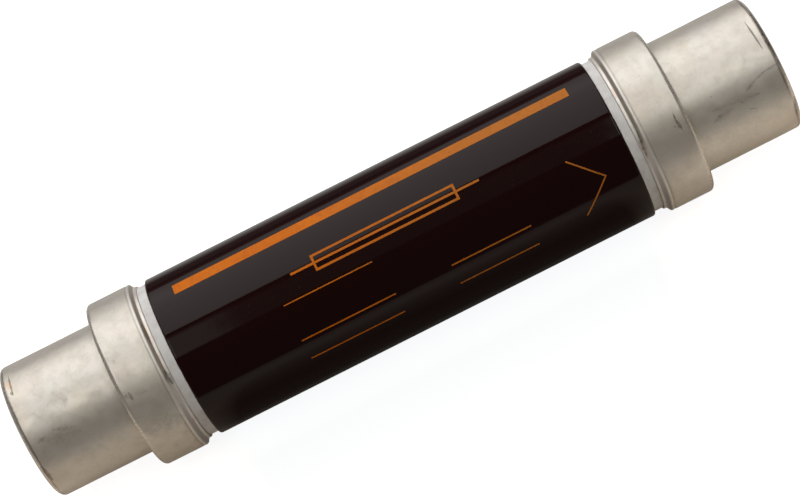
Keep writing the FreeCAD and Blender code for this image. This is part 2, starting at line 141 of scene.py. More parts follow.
def ramp(tree, value, low, high, to_low=0.0, to_high=1.0):
    """A value mapped from low..high to to_low..to_high, held at the ends."""
    node = add(tree, "MapRange", Value=value, From_Min=low, From_Max=high, To_Min=to_low, To_Max=to_high)
    return node.outputs[0]


def tint(tree, factor, first, second):
    """A mix of two colours."""
    return add(tree, "Mix", {"data_type": "RGBA"}, Factor=factor, i6=first, i7=second).outputs[2]


def grain(tree, place, scale, detail=2.0, roughness=0.5):
    """Soft noise with that many cells to the unit of place."""
    return add(tree, "TexNoise", Vector=place, Scale=scale, Detail=detail, Roughness=roughness).outputs[0]


def new_material(name):
    """An empty node material, and its tree with a Principled BSDF and an output."""
    material = bpy.data.materials.new(name)
    material.use_nodes = True
    tree = material.node_tree
    tree.nodes.clear()
    shader = tree.nodes.new("ShaderNodeBsdfPrincipled")
    output = tree.nodes.new("ShaderNodeOutputMaterial")
    tree.links.new(shader.outputs["BSDF"], output.inputs["Surface"])
    return material, tree, shader, output


def ray_kinds(tree):
    """Masks of the rays that see the background as it is, from the camera or through glass, and mirrored."""
    path = add(tree, "LightPath")
    plain = math_node(tree, "MAXIMUM", path.outputs["Is Camera Ray"], path.outputs["Is Transmission Ray"])
    return plain, path.outputs["Is Glossy Ray"]


table_height = cad_box[0][2]
table_half = 4.0
table_mesh = bpy.data.meshes.new("table")
table_corners = [(-1, -1), (1, -1), (1, 1), (-1, 1)]
table_points = [(x * table_half, y * table_half, table_height) for x, y in table_corners]
table_mesh.from_pydata(table_points, [], [(0, 1, 2, 3)])
table = put("table", table_mesh)
table_material, tree, shader, output = new_material("pale_table")
shader.inputs["Roughness"].default_value = 0.9
table_grain = add(tree, "TexNoise", Scale=40.0, Detail=3.0).outputs[0]
table_place = add(tree, "SeparateXYZ", Vector=add(tree, "TexCoord").outputs["Object"])
sideways = table_place.outputs["X"]
depth = table_place.outputs["Y"]

# The glaze and the plating mirror the table, so its colour holds painted shade: the link's contact shadow is
# painted dark below the barrel. It is also painted dark behind the barrel, and warm beside the caps. It glows
# white to the camera, and keeps the link's faint shadow.
beyond_barrel = ramp(tree, math_node(tree, "ABSOLUTE", sideways), 0.070, 0.080)
paper = tint(tree, table_grain, (0.84, 0.83, 0.82, 1), (0.88, 0.87, 0.86, 1))
beside_caps = tint(tree, ramp(tree, sideways, -0.1, 0.1), (0.86, 0.75, 0.63, 1), (1.0, 0.88, 0.74, 1))
# Painted shadow: the table is dark below the barrel, between the caps.
painted_shadow_below_link = tint(tree, beyond_barrel, (0.20, 0.175, 0.155, 1), beside_caps)
paper = tint(tree, ramp(tree, depth, 0.0, -0.03), paper, painted_shadow_below_link)
paper = tint(tree, ramp(tree, depth, -0.06, -0.22), paper, (0.70, 0.63, 0.54, 1))
paper = tint(tree, ramp(tree, depth, 0.06, 0.18), paper, (0.09, 0.08, 0.08, 1))
tree.links.new(paper, shader.inputs["Base Color"])
plainly_seen, mirrored = ray_kinds(tree)
behind_glow = ramp(tree, depth, 0.06, 0.18, 0.0, 0.12)
front_glow = ramp(tree, depth, -0.1, -0.05, 0.0, 0.06)
front_glow = math_node(tree, "MULTIPLY", front_glow, ramp(tree, beyond_barrel, 0.0, 1.0, 1.0, 0.0))
plain_glow = math_node(tree, "ADD", math_node(tree, "ADD", behind_glow, front_glow), 0.88)
mirrored_glow = math_node(tree, "MULTIPLY", mirrored, ramp(tree, depth, -0.06, -0.3, 0.0, 0.15))
seen = math_node(tree, "MULTIPLY_ADD", plainly_seen, plain_glow, mirrored_glow)
glow = add(tree, "Emission", Color=(0.975, 0.99, 1, 1), Strength=seen)
both = add(tree, "AddShader", i0=shader.outputs[0], i1=glow.outputs[0])
tree.links.new(both.outputs[0], output.inputs["Surface"])
table_mesh.materials.append(table_material)

flap_rim = (0.121, 0.132)
flap_rim_share = 0.22
flap_side = (0.16, 0.21)


def softbox(name, angle, distance, across, along, radiance, colour, near, far, middle_share=1.0):
    """A rectangular lamp facing the link; its angle runs from the camera's side of the table over the top.

    It fades toward its edge near the camera and the one behind, each given as (share left, width of fade).
    A flap before its middle lets middle_share of the light pass, and more of it along the flap's rim."""
    lamp = bpy.data.lights.new(name, "AREA")
    lamp.shape = "RECTANGLE"
    lamp.size = along
    lamp.size_y = across
    lamp.energy = radiance * math.pi * across * along
    lamp.color = colour
    lamp.use_nodes = True
    tree = lamp.node_tree
    lamp_place = add(tree, "SeparateXYZ", Vector=add(tree, "NewGeometry").outputs["Parametric"])
    near_fall = ramp(tree, lamp_place.outputs["Y"], 0.0, near[1], near[0], 1.0)
    far_fall = ramp(tree, lamp_place.outputs["Y"], 1.0 - far[1], 1.0, 1.0, far[0])
    sideways = math_node(tree, "ABSOLUTE", math_node(tree, "SUBTRACT", lamp_place.outputs["X"], 0.5))
    past_flap = ramp(tree, sideways, *flap_rim, middle_share, max(middle_share, flap_rim_share))
    past_flap = ramp(tree, sideways, *flap_side, past_flap, 1.0)
    strength = math_node(tree, "MULTIPLY", math_node(tree, "MULTIPLY", near_fall, far_fall), past_flap)
    tree.links.new(strength, tree.nodes["Emission"].inputs["Strength"])
    place = Vector((0, -math.cos(angle) * distance, math.sin(angle) * distance))
    facing = place.normalized()
    put(name, lamp).matrix_world = standing(place, along_link, facing.cross(along_link), facing)


softbox("softbox_behind", math.radians(134), distance=1.0, across=1.6, along=1.6, radiance=1.31,
        colour=(1, 0.99, 0.985), near=(0.85, 0.4), far=(0.35, 0.32))
softbox("softbox_front", math.radians(76.4), distance=2.0, across=1.14, along=1.8, radiance=2.3,
        colour=(1, 0.97, 0.91), near=(0.1, 0.08), far=(0.0, 0.2), middle_share=0.04)

world = bpy.data.worlds.new("room")
bpy.context.scene.world = world
world.use_nodes = True
tree = world.node_tree
tree.nodes.clear()
plainly_seen, mirrored = ray_kinds(tree)
dim_room = ramp(tree, mirrored, 0.0, 1.0, 0.09, 0.105)
room_strength = add(tree, "Mix", {"data_type": "FLOAT"}, Factor=plainly_seen, i2=dim_room, i3=1.0)
room_colour = tint(tree, plainly_seen, (1, 0.93, 0.85, 1), (1, 1, 1, 1))
room = add(tree, "Background", Color=room_colour, Strength=room_strength.outputs[0])
room_output = tree.nodes.new("ShaderNodeOutputWorld")
tree.links.new(room.outputs[0], room_output.inputs["Surface"])

# Porcelain barrel: a turned and fired tube with a dark brown glaze. Its ends are ground bare for the caps, so
# a white band shows between the glaze and each rolled lip, and a ground groove takes the lip.
_, barrel_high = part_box("porcelain_barrel")
glaze_radius = barrel_high.z
tube_half = barrel_high.x
shoulder = 96.0 * MM
glaze_edge = shoulder - 20.1 * MM
glaze_round = 0.7 * MM
ground_radius = glaze_radius - 1.1 * MM
bore_radius = glaze_radius - 6.0 * MM
groove_radius = ground_radius - 0.95 * MM
groove_from = shoulder - 17.1 * MM
groove_to = shoulder - 15.4 * MM
groove_slope = 0.67 * MM
outside_facets = 320


def arc(centre_along, centre_out, radius, start, end, steps):
    """Points of an arc in the profile plane, from angle to angle in degrees, 0 along +X and 90 outward."""
    angles = [math.radians(start + (end - start) * step / steps) for step in range(steps + 1)]
    return [(centre_along + radius * math.cos(a), centre_out + radius * math.sin(a)) for a in angles]


def spread(start, end, step):
    """Points from start to end, no further apart than step."""
    (x0, r0), (x1, r1) = start, end
    count = max(1, math.ceil(math.hypot(x1 - x0, r1 - r0) / step))
    return [(x0 + (x1 - x0) * k / count, r0 + (r1 - r0) * k / count) for k in range(count + 1)]


def smooth_mesh(name, points, faces, sharp_over, weld=False):
    """A closed smooth mesh that keeps its edges sharp over that many degrees."""
    mesh = bpy.data.meshes.new(name)
    mesh.from_pydata(points, [], faces)
    shape = bmesh.new()
    shape.from_mesh(mesh)
    if weld:
        bmesh.ops.remove_doubles(shape, verts=shape.verts, dist=1e-7)
        bmesh.ops.dissolve_degenerate(shape, edges=shape.edges, dist=1e-8)
    bmesh.ops.recalc_face_normals(shape, faces=shape.faces)
    shape.to_mesh(mesh)
    shape.free()
    mesh.shade_smooth()
    mesh.set_sharp_from_angle(angle=math.radians(sharp_over))
    return mesh


def turned(name, profile, segments, shift=None):
    """A ring turned from a closed profile of (along, radius); shift gives how far a point moves outward."""
    points, faces = [], []
    rows = len(profile)
    for step in range(segments):
        angle = 2 * math.pi * step / segments
        for along, out in profile:
            reach = out + (shift(along, out, angle) if shift else 0.0)
            points.append((along, -math.sin(angle) * reach, math.cos(angle) * reach))
    for step in range(segments):
        here, there = step * rows, (step + 1) % segments * rows
        for row in range(rows):
            following = (row + 1) % rows
            faces.append((here + row, here + following, there + following, there + row))
    return put(name, smooth_mesh(name, points, faces, sharp_over=32, weld=True))


def close_group(group, **outputs):
    """Gives a shader group its outputs, each of the kind of the socket that feeds it."""
    for name, source in outputs.items():
        kind = "Vector" if source.type == "VECTOR" else "Float"
        group.interface.new_socket(name, in_out="OUTPUT", socket_type="NodeSocket" + kind)
    group_end = group.nodes.new("NodeGroupOutput")
    for name, source in outputs.items():
        group.links.new(source, group_end.inputs[name])


# Places on a round piece in millimetres, as a shader group: along the axis, around it on a fixed radius with
# the seam underneath, the distance from the axis, the first two as a flat place, and the place in space.
unrolled_radius = 25
around_axis = bpy.data.node_groups.new("around_axis", "ShaderNodeTree")
object_place = add(around_axis, "TexCoord").outputs["Object"]
solid = add(around_axis, "VectorMath", {"operation": "SCALE"}, i0=object_place, Scale=1000.0).outputs[0]
split = add(around_axis, "SeparateXYZ", Vector=solid)
toward_front = math_node(around_axis, "MULTIPLY", split.outputs["Y"], -1.0)
turn = math_node(around_axis, "ARCTAN2", toward_front, split.outputs["Z"])
around = math_node(around_axis, "MULTIPLY", turn, unrolled_radius)
flat = add(around_axis, "CombineXYZ", X=split.outputs["X"], Y=around).outputs[0]
across = add(around_axis, "CombineXYZ", Y=split.outputs["Y"], Z=split.outputs["Z"]).outputs[0]
radius = vector_node(around_axis, "LENGTH", across, (0, 0, 0))
close_group(around_axis, Along=split.outputs["X"], Around=around, Radius=radius, Flat=flat, Solid=solid)


def solid_place(tree):
    """The place in space of around_axis, in millimetres."""
    return add(tree, "Group", {"node_tree": around_axis}).outputs["Solid"]


def relief(tree, shader, strength, depth, height):
    """Unevenness of the surface, too fine for the mesh, with its depth in metres."""
    bump = add(tree, "Bump", Strength=strength, Distance=depth, Height=height)
    tree.links.new(bump.outputs[0], shader.inputs["Normal"])


porcelain, tree, shader, _ = new_material("glazed_porcelain")
spot = add(tree, "Group", {"node_tree": around_axis})
solid = spot.outputs["Solid"]
edge_wander = ramp(tree, grain(tree, solid, 0.45), 0.3, 0.7, -0.06, 0.06)
from_middle = math_node(tree, "ADD", math_node(tree, "ABSOLUTE", spot.outputs["Along"]), edge_wander)
edge = glaze_edge / MM
past_edge = ramp(tree, from_middle, edge - 0.10, edge - 0.02)
under_glaze = ramp(tree, spot.outputs["Radius"], ground_radius / MM - 0.4, ground_radius / MM - 0.2, 1.0, 0.0)
bare = math_node(tree, "MAXIMUM", past_edge, under_glaze)
cloud = grain(tree, solid, 0.05, 4.0)
glaze = tint(tree, cloud, (0.0103, 0.0004, 0.0004, 1), (0.0145, 0.0007, 0.0006, 1))
glaze = tint(tree, ramp(tree, from_middle, edge - 0.9, edge - 0.2), glaze, (0.02, 0.006, 0.004, 1))
grit = grain(tree, solid, 3.5, 4.0, 0.7)
dust = ramp(tree, grain(tree, solid, 0.22, 4.0, 0.6), 0.42, 0.78)
body = tint(tree, ramp(tree, grit, 0.3, 0.7), (0.84, 0.84, 0.832, 1), (0.95, 0.95, 0.94, 1))
body = tint(tree, dust, body, (0.72, 0.68, 0.68, 1))
tree.links.new(tint(tree, bare, glaze, body), shader.inputs["Base Color"])
pinholes = ramp(tree, grain(tree, solid, 2.2, 1.0), 0.72, 0.76)
shine = math_node(tree, "MULTIPLY_ADD", pinholes, 0.25, ramp(tree, cloud, 0.3, 0.7, 0.045, 0.07))
roughness = add(tree, "Mix", {"data_type": "FLOAT"}, Factor=bare, i2=shine, i3=0.85)
tree.links.new(roughness.outputs[0], shader.inputs["Roughness"])
shader.inputs["IOR"].default_value = 1.5
shader.inputs["Specular IOR Level"].default_value = 0.26
ripple = grain(tree, solid, 0.16, 2.0)
height = math_node(tree, "MULTIPLY_ADD", ripple, 0.35, math_node(tree, "MULTIPLY", grit, bare))
relief(tree, shader, 0.25, 0.00012, height)


def fired_shape(along, out, angle):
    """The slight unevenness of a fired and glazed surface."""
    if out < glaze_radius - 0.2 * MM or abs(along) > glaze_edge:
        return 0.0
    wide_swell = math.sin(2 * angle + along * 9) * 0.010
    narrow_swell = math.sin(5 * angle - along * 31) * 0.004
    return (wide_swell + narrow_swell) * MM


half = [(tube_half, bore_radius), (tube_half, ground_radius), (groove_to + groove_slope, ground_radius)]
half += [(groove_to, groove_radius), (groove_from, groove_radius)]
half += spread((groove_from, ground_radius), (glaze_edge, ground_radius), 0.5 * MM)
half += arc(glaze_edge - glaze_round, glaze_radius - glaze_round, glaze_round, 0, 90, 8)
last_flat = glaze_edge - glaze_round - 0.12 * MM
half += spread((last_flat, glaze_radius), (0.0, glaze_radius), 1.5 * MM)[:-1]
profile = half + [(0.0, glaze_radius)] + [(-x, r) for x, r in reversed(half)]
barrel = turned("barrel", profile, outside_facets, fired_shape)
barrel.data.materials.append(porcelain)
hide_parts("porcelain_barrel")
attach(barrel, "fuse_body")


def finish_node(material, *names):
    """The material on all faces of CAD nodes that are right as they are."""
    for name in names:
        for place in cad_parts[name].material_slots:
            place.material = material


# Ribbed core: extruded and fired ceramic with bored ends, left unglazed. Its ribs are notched, which keeps
# the turns of the elements apart.
ceramic, tree, shader, _ = new_material("core_ceramic")
solid = solid_place(tree)
mottle = grain(tree, solid, 0.3, 5.0, 0.65)
colour = tint(tree, ramp(tree, mottle, 0.3, 0.7), (0.80, 0.77, 0.70, 1), (0.70, 0.66, 0.58, 1))
speck = ramp(tree, grain(tree, solid, 2.6, 1.0), 0.70, 0.74)
tree.links.new(tint(tree, speck, colour, (0.42, 0.33, 0.25, 1)), shader.inputs["Base Color"])
shader.inputs["Roughness"].default_value = 0.82
relief(tree, shader, 0.5, 0.00008, grain(tree, solid, 4.0, 5.0, 0.7))
finish_node(ceramic, "ribbed_core")

# Fuse elements: fine silver strip, rolled bright, punched with notches and wound over the ribs. The air has
# left it slightly yellow in patches.
silver, tree, shader, _ = new_material("silver_strip")
solid = solid_place(tree)
patches = ramp(tree, grain(tree, solid, 0.25, 4.0, 0.6), 0.45, 0.75)
tree.links.new(tint(tree, patches, (0.90, 0.88, 0.84, 1), (0.66, 0.58, 0.42, 1)), shader.inputs["Base Color"])
shader.inputs["Metallic"].default_value = 1.0
tree.links.new(ramp(tree, patches, 0.0, 1.0, 0.22, 0.42), shader.inputs["Roughness"])
stretched = vector_node(tree, "MULTIPLY", solid, (8.0, 0.2, 0.2))
relief(tree, shader, 0.3, 0.00001, grain(tree, stretched, 1.0, 3.0))
finish_node(silver, "fuse_element_1", "fuse_element_2", "fuse_element_3")

# Copper parts: stamped crowns that the elements are welded to, drawn inner caps, and the pressed plug of the
# filling hole, all bare and unevenly browned.
copper, tree, shader, _ = new_material("bare_copper")
solid = solid_place(tree)
browned = ramp(tree, grain(tree, solid, 0.14, 5.0, 0.6), 0.38, 0.72)
colour = tint(tree, browned, (0.80, 0.43, 0.28, 1), (0.42, 0.20, 0.12, 1))
specks = ramp(tree, grain(tree, solid, 1.3, 3.0), 0.62, 0.75)
tree.links.new(tint(tree, specks, colour, (0.25, 0.13, 0.09, 1)), shader.inputs["Base Color"])
shader.inputs["Metallic"].default_value = 1.0
tree.links.new(ramp(tree, browned, 0.0, 1.0, 0.26, 0.48), shader.inputs["Roughness"])
drawn = vector_node(tree, "MULTIPLY", solid, (0.3, 3.0, 3.0))
relief(tree, shader, 0.3, 0.00002, grain(tree, drawn, 1.0, 3.0))
finish_node(copper, "element_crown_plain", "element_crown_striker", "inner_cap_plain", "inner_cap_striker",
            "filling_plug")

# Quartz sand: washed and graded grains of about a third of a millimetre, a few of them dark, shaken down
# until they no longer settle.
sand, tree, shader, _ = new_material("quartz_sand")
solid = solid_place(tree)
grains = add(tree, "TexVoronoi", Vector=solid, Scale=3.0)
shade = add(tree, "SeparateColor", Color=grains.outputs["Color"]).outputs[0]
colour = tint(tree, shade, (0.86, 0.83, 0.77, 1), (0.58, 0.50, 0.40, 1))
dark_grain = ramp(tree, shade, 0.955, 0.965)
tree.links.new(tint(tree, dark_grain, colour, (0.16, 0.13, 0.11, 1)), shader.inputs["Base Color"])
tree.links.new(ramp(tree, shade, 0.0, 1.0, 0.35, 0.85), shader.inputs["Roughness"])
heap = math_node(tree, "MULTIPLY", grains.outputs["Distance"], -1.0)
relief(tree, shader, 0.8, 0.0002, heap)
finish_node(sand, "quartz_sand")

# Rubber rings: moulded black rubber, pressed between the barrel's ends and the inner caps, and between the
# guide bush and the cap's end.
rubber, tree, shader, _ = new_material("seal_rubber")
solid = solid_place(tree)
bloom = ramp(tree, grain(tree, solid, 0.5, 4.0, 0.6), 0.4, 0.75)
colour = tint(tree, bloom, (0.022, 0.022, 0.024, 1), (0.060, 0.059, 0.058, 1))
tree.links.new(colour, shader.inputs["Base Color"])
tree.links.new(ramp(tree, bloom, 0.0, 1.0, 0.62, 0.85), shader.inputs["Roughness"])
relief(tree, shader, 0.4, 0.00005, grain(tree, solid, 6.0, 3.0))
finish_node(rubber, "end_gasket_plain", "end_gasket_striker", "opening_seal")

# Turned brass: the wire anchor at the plain end and the bush that guides the pin, with the fine rings that
# the tool leaves.
def tool_rings(tree, spot, scale):
    """The fine rings that the tool leaves on a turned piece."""
    tool_path = add(tree, "CombineXYZ", X=spot.outputs["Along"], Y=spot.outputs["Radius"]).outputs[0]
    return grain(tree, tool_path, scale)


brass, tree, shader, _ = new_material("turned_brass")
spot = add(tree, "Group", {"node_tree": around_axis})
tarnish = ramp(tree, grain(tree, spot.outputs["Solid"], 0.5, 4.0, 0.6), 0.4, 0.75)
colour = tint(tree, tarnish, (0.80, 0.62, 0.30, 1), (0.48, 0.34, 0.16, 1))
tree.links.new(colour, shader.inputs["Base Color"])
shader.inputs["Metallic"].default_value = 1.0
tree.links.new(ramp(tree, tarnish, 0.0, 1.0, 0.22, 0.45), shader.inputs["Roughness"])
relief(tree, shader, 0.5, 0.00002, tool_rings(tree, spot, 9.0))
finish_node(brass, "wire_anchor", "guide_bush")

# Striker housing: a steel tube with a floor and a welded flange, which holds the spring and the pin's head.
# It is zinc-plated, with the cloudy sheen of passivated zinc.
zinc, tree, shader, _ = new_material("zinc_plated_steel")
solid = solid_place(tree)
clouds = grain(tree, solid, 0.35, 4.0, 0.6)
colour = tint(tree, ramp(tree, clouds, 0.3, 0.7), (0.66, 0.69, 0.71, 1), (0.70, 0.66, 0.55, 1))
tree.links.new(colour, shader.inputs["Base Color"])
shader.inputs["Metallic"].default_value = 1.0
tree.links.new(ramp(tree, clouds, 0.3, 0.7, 0.28, 0.46), shader.inputs["Roughness"])
relief(tree, shader, 0.3, 0.00002, grain(tree, solid, 5.0, 3.0))
finish_node(zinc, "striker_housing")

# Striker pin: turned and ground steel with a thin bright plating. Its tip stands a little inside the opening
# of the cap; the head behind it is what the spring pushes on.
pin_low, pin_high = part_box("striker_pin")
pin_radius = 3.0 * MM
head_radius = pin_high.z
tail_radius = 1.5 * MM
head_back = 87.65 * MM
head_front = 90.65 * MM
tip = pin_high.x
edge_round = 0.3 * MM
tip_round = 0.8 * MM
dimple_rim = 1.2 * MM
dimple_floor = 0.9 * MM
dimple_wall = 0.12 * MM
dimple_depth = 0.15 * MM
pin_facets = 96
pin_profile = [(pin_low.x, 0.0), (pin_low.x, tail_radius - edge_round), (pin_low.x + edge_round, tail_radius)]
pin_profile += spread((head_back, tail_radius), (head_back, head_radius - edge_round), 1.5 * MM)
pin_profile += arc(head_back + edge_round, head_radius - edge_round, edge_round, 180, 90, 3)
pin_profile += arc(head_front - edge_round, head_radius - edge_round, edge_round, 90, 0, 3)
pin_profile += spread((head_front, pin_radius), (tip - tip_round, pin_radius), 3.0 * MM)
pin_profile += arc(tip - tip_round, pin_radius - tip_round, tip_round, 90, 0, 8)[1:]
pin_profile += [(tip, dimple_rim), (tip - dimple_wall, dimple_floor), (tip - dimple_depth, 0.0)]
pin = turned("pin", pin_profile, pin_facets)
pin_steel, tree, shader, _ = new_material("ground_pin_steel")
spot = add(tree, "Group", {"node_tree": around_axis})
rubbed = ramp(tree, grain(tree, spot.outputs["Solid"], 0.25, 3.0, 0.5), 0.40, 0.80)
tree.links.new(tint(tree, rubbed, (0.74, 0.73, 0.70, 1), (0.60, 0.58, 0.54, 1)), shader.inputs["Base Color"])
shader.inputs["Metallic"].default_value = 1.0
tree.links.new(ramp(tree, rubbed, 0.0, 1.0, 0.28, 0.38), shader.inputs["Roughness"])
relief(tree, shader, 0.2, 0.00001, tool_rings(tree, spot, 5.0))
pin.data.materials.append(pin_steel)
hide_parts("striker_pin")
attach(pin, "striker")

# Striker spring: a cold-wound compression spring of patented steel wire, set between the housing's floor and
# the head of the pin; its ends lie flat. The trip wire has the same finish.
spring_low, spring_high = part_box("striker_spring")
wire_radius = 0.6 * MM
coil_radius = 4.0 * MM
coil_turns = 7
steps_per_turn = 36
coil_start = spring_low.x + wire_radius
coil_run = spring_high.x - spring_low.x - 2 * wire_radius
coil_steps = coil_turns * steps_per_turn
wire_sides = 10
points, faces = [], []
for step in range(coil_steps + 1):
    share = step / coil_steps
    angle = 2 * math.pi * coil_turns * share
    outward = Vector((0, math.sin(angle), math.cos(angle)))
    centre = Vector((coil_start + coil_run * share, 0, 0)) + outward * coil_radius
    for side in range(wire_sides):
        turn = 2 * math.pi * side / wire_sides
        points.append(centre + (Vector((1, 0, 0)) * math.cos(turn) + outward * math.sin(turn)) * wire_radius)
for step in range(coil_steps):
    for side in range(wire_sides):
        a, b = step * wire_sides + side, step * wire_sides + (side + 1) % wire_sides
        faces.append((a, b, b + wire_sides, a + wire_sides))
faces.append(tuple(range(wire_sides - 1, -1, -1)))
faces.append(tuple(range(coil_steps * wire_sides, (coil_steps + 1) * wire_sides)))
spring = put("spring", smooth_mesh("spring", points, faces, sharp_over=45))
spring_steel, tree, shader, _ = new_material("spring_steel")
solid = solid_place(tree)
oxide = ramp(tree, grain(tree, solid, 0.6, 4.0, 0.6), 0.35, 0.7)
tree.links.new(tint(tree, oxide, (0.42, 0.42, 0.43, 1), (0.20, 0.17, 0.15, 1)), shader.inputs["Base Color"])
shader.inputs["Metallic"].default_value = 1.0
tree.links.new(ramp(tree, oxide, 0.0, 1.0, 0.30, 0.5), shader.inputs["Roughness"])
relief(tree, shader, 0.3, 0.00001, grain(tree, solid, 7.0, 3.0))
spring.data.materials.append(spring_steel)
finish_node(spring_steel, "trip_wire")
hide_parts("striker_spring")
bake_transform(spring)

# Contact caps: deep-drawn copper with satin nickel plating. The collar is pushed over the barrel and its rim
# is rolled into the groove; years in a clip have stained, scratched and dented the plating.
_, cap_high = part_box("contact_cap_striker")
collar_radius = cap_high.z
contact_end = cap_high.x
contact_radius = 22.25 * MM


def open_group(name, **inputs):
    """A new shader group, and the node that gives its inputs, each Float or Vector."""
    group = bpy.data.node_groups.new(name, "ShaderNodeTree")
    for socket_name, kind in inputs.items():
        group.interface.new_socket(socket_name, in_out="INPUT", socket_type="NodeSocket" + kind)
    return group, group.nodes.new("NodeGroupInput")


# One mark as a shader group: a stroke between two flat places that narrows toward its ends.
stroke, given = open_group("stroke", Place="Vector", From="Vector", To="Vector", Width="Float",
                           Softness="Float")
reach = vector_node(stroke, "SUBTRACT", given.outputs["To"], given.outputs["From"])
offset = vector_node(stroke, "SUBTRACT", given.outputs["Place"], given.outputs["From"])
whole = vector_node(stroke, "DOT_PRODUCT", reach, reach)
share = math_node(stroke, "DIVIDE", vector_node(stroke, "DOT_PRODUCT", offset, reach), whole)
share = ramp(stroke, share, 0.0, 1.0)
foot = add(stroke, "VectorMath", {"operation": "SCALE"}, i0=reach, Scale=share).outputs[0]
away = vector_node(stroke, "DISTANCE", offset, foot)
from_middle = math_node(stroke, "ABSOLUTE", math_node(stroke, "SUBTRACT", share, 0.5))
taper = ramp(stroke, from_middle, 0.15, 0.5, 1.0, 0.2)
near = math_node(stroke, "DIVIDE", away, math_node(stroke, "MULTIPLY", given.outputs["Width"], taper))
solid_part = math_node(stroke, "SUBTRACT", 1.0, given.outputs["Softness"])
mask = add(stroke, "MapRange", {"interpolation_type": "SMOOTHSTEP"}, Value=near, From_Min=solid_part,
           From_Max=1.0, To_Min=1.0, To_Max=0.0).outputs[0]
close_group(stroke, Mask=mask)

# Wear of the plating as a shader group: stains, a wide haze, small spots, the lines left by drawing the cap,
# and fine scratches in four directions.
plating_wear, given = open_group("plating_wear", Seed="Float")
spot = add(plating_wear, "Group", {"node_tree": around_axis})
seed_shift = add(plating_wear, "CombineXYZ", X=given.outputs["Seed"], Z=given.outputs["Seed"]).outputs[0]
solid = vector_node(plating_wear, "ADD", spot.outputs["Solid"], seed_shift)
flat = vector_node(plating_wear, "ADD", spot.outputs["Flat"], seed_shift)
blotches = add(plating_wear, "TexNoise", Vector=solid, Scale=0.28, Detail=6.0, Roughness=0.7, Distortion=0.15)
stain = ramp(plating_wear, blotches.outputs[0], 0.44, 0.70)
haze = ramp(plating_wear, grain(plating_wear, solid, 0.07, 3.0, 0.55), 0.35, 0.65)
spots = ramp(plating_wear, grain(plating_wear, solid, 0.9, 4.0, 0.65), 0.60, 0.76)
ringed = vector_node(plating_wear, "MULTIPLY", solid, (7.0, 0.05, 0.05))
lines = grain(plating_wear, ringed, 1.0, 3.0, 0.6)
scratches = None
for turn, length, seed in ((0.35, 0.08, 3.0), (-1.1, 0.06, 11.0), (1.5, 0.1, 23.0), (0.9, 0.12, 37.0)):
    moved = vector_node(plating_wear, "ADD", flat, (0.0, 0.0, seed))
    rotated = add(plating_wear, "VectorRotate", {"rotation_type": "Z_AXIS"}, Vector=moved, Angle=turn)
    drawn_out = vector_node(plating_wear, "MULTIPLY", rotated.outputs[0], (length, 3.2, 1.0))
    strand = ramp(plating_wear, grain(plating_wear, drawn_out, 1.0, 1.0), 0.72, 0.78)
    scratches = strand if scratches is None else math_node(plating_wear, "MAXIMUM", scratches, strand)
close_group(plating_wear, Stain=stain, Haze=haze, Spots=spots, Lines=lines, Scratches=scratches)

# Kinds of marks: colour, softness of the edge, share of the strength that the gaps keep, and depth.
mark_kinds = {
    "smudge": ((0.16, 0.15, 0.125, 1), 1.0, 0.3, 0.0),
    "scratch": ((0.12, 0.105, 0.085, 1), 0.7, 0.6, 3.0),
    "bare_copper": ((0.90, 0.60, 0.36, 1), 1.0, 0.6, 0.5),
    # Marks of the tarnish kind are painted shade: along the caps' end rims and in the groove behind the lip.
    "tarnish": ((0.20, 0.15, 0.12, 1), 0.6, 0.5, 0.0),
    # Painted highlight: pale bands along the caps.
    "painted_highlight": ((0.98, 0.935, 0.86, 1), 1.0, 0.6, 0.0),
}

# Rings of the cap that look different, in millimetres from the middle of the link: where each begins, is
# full, begins to end and is gone. Painted shade darkens the step on its upper side, and painted light makes
# it pale on its lower side.
lip_ring = (79.0, 79.1, 79.8, 80.0)
copper_ring = (79.1, 79.4, 80.0, 80.8)
step_ring = (79.9, 80.2, 80.8, 81.0)
ridge_ring = (80.85, 81.05, 81.6, 81.8)
shoulder_ring = (94.3, 94.8, 96.1, 96.3)
end_ring = (127.2, 127.8)
dip_line = 82.1
rim_line = 127.4
crease_radius = (22.9, 23.6)
painted_shade_until = (16.0, 21.0)
painted_light_from = (17.0, 25.0)


def ring_mask(tree, distance, begins, full, ends, gone):
    """A mask of one ring of the cap."""
    return math_node(tree, "MULTIPLY", ramp(tree, distance, begins, full), ramp(tree, distance, gone, ends))


def away_from(tree, distance, line):
    """How far a place is from a line around the cap."""
    return math_node(tree, "ABSOLUTE", math_node(tree, "SUBTRACT", distance, line))


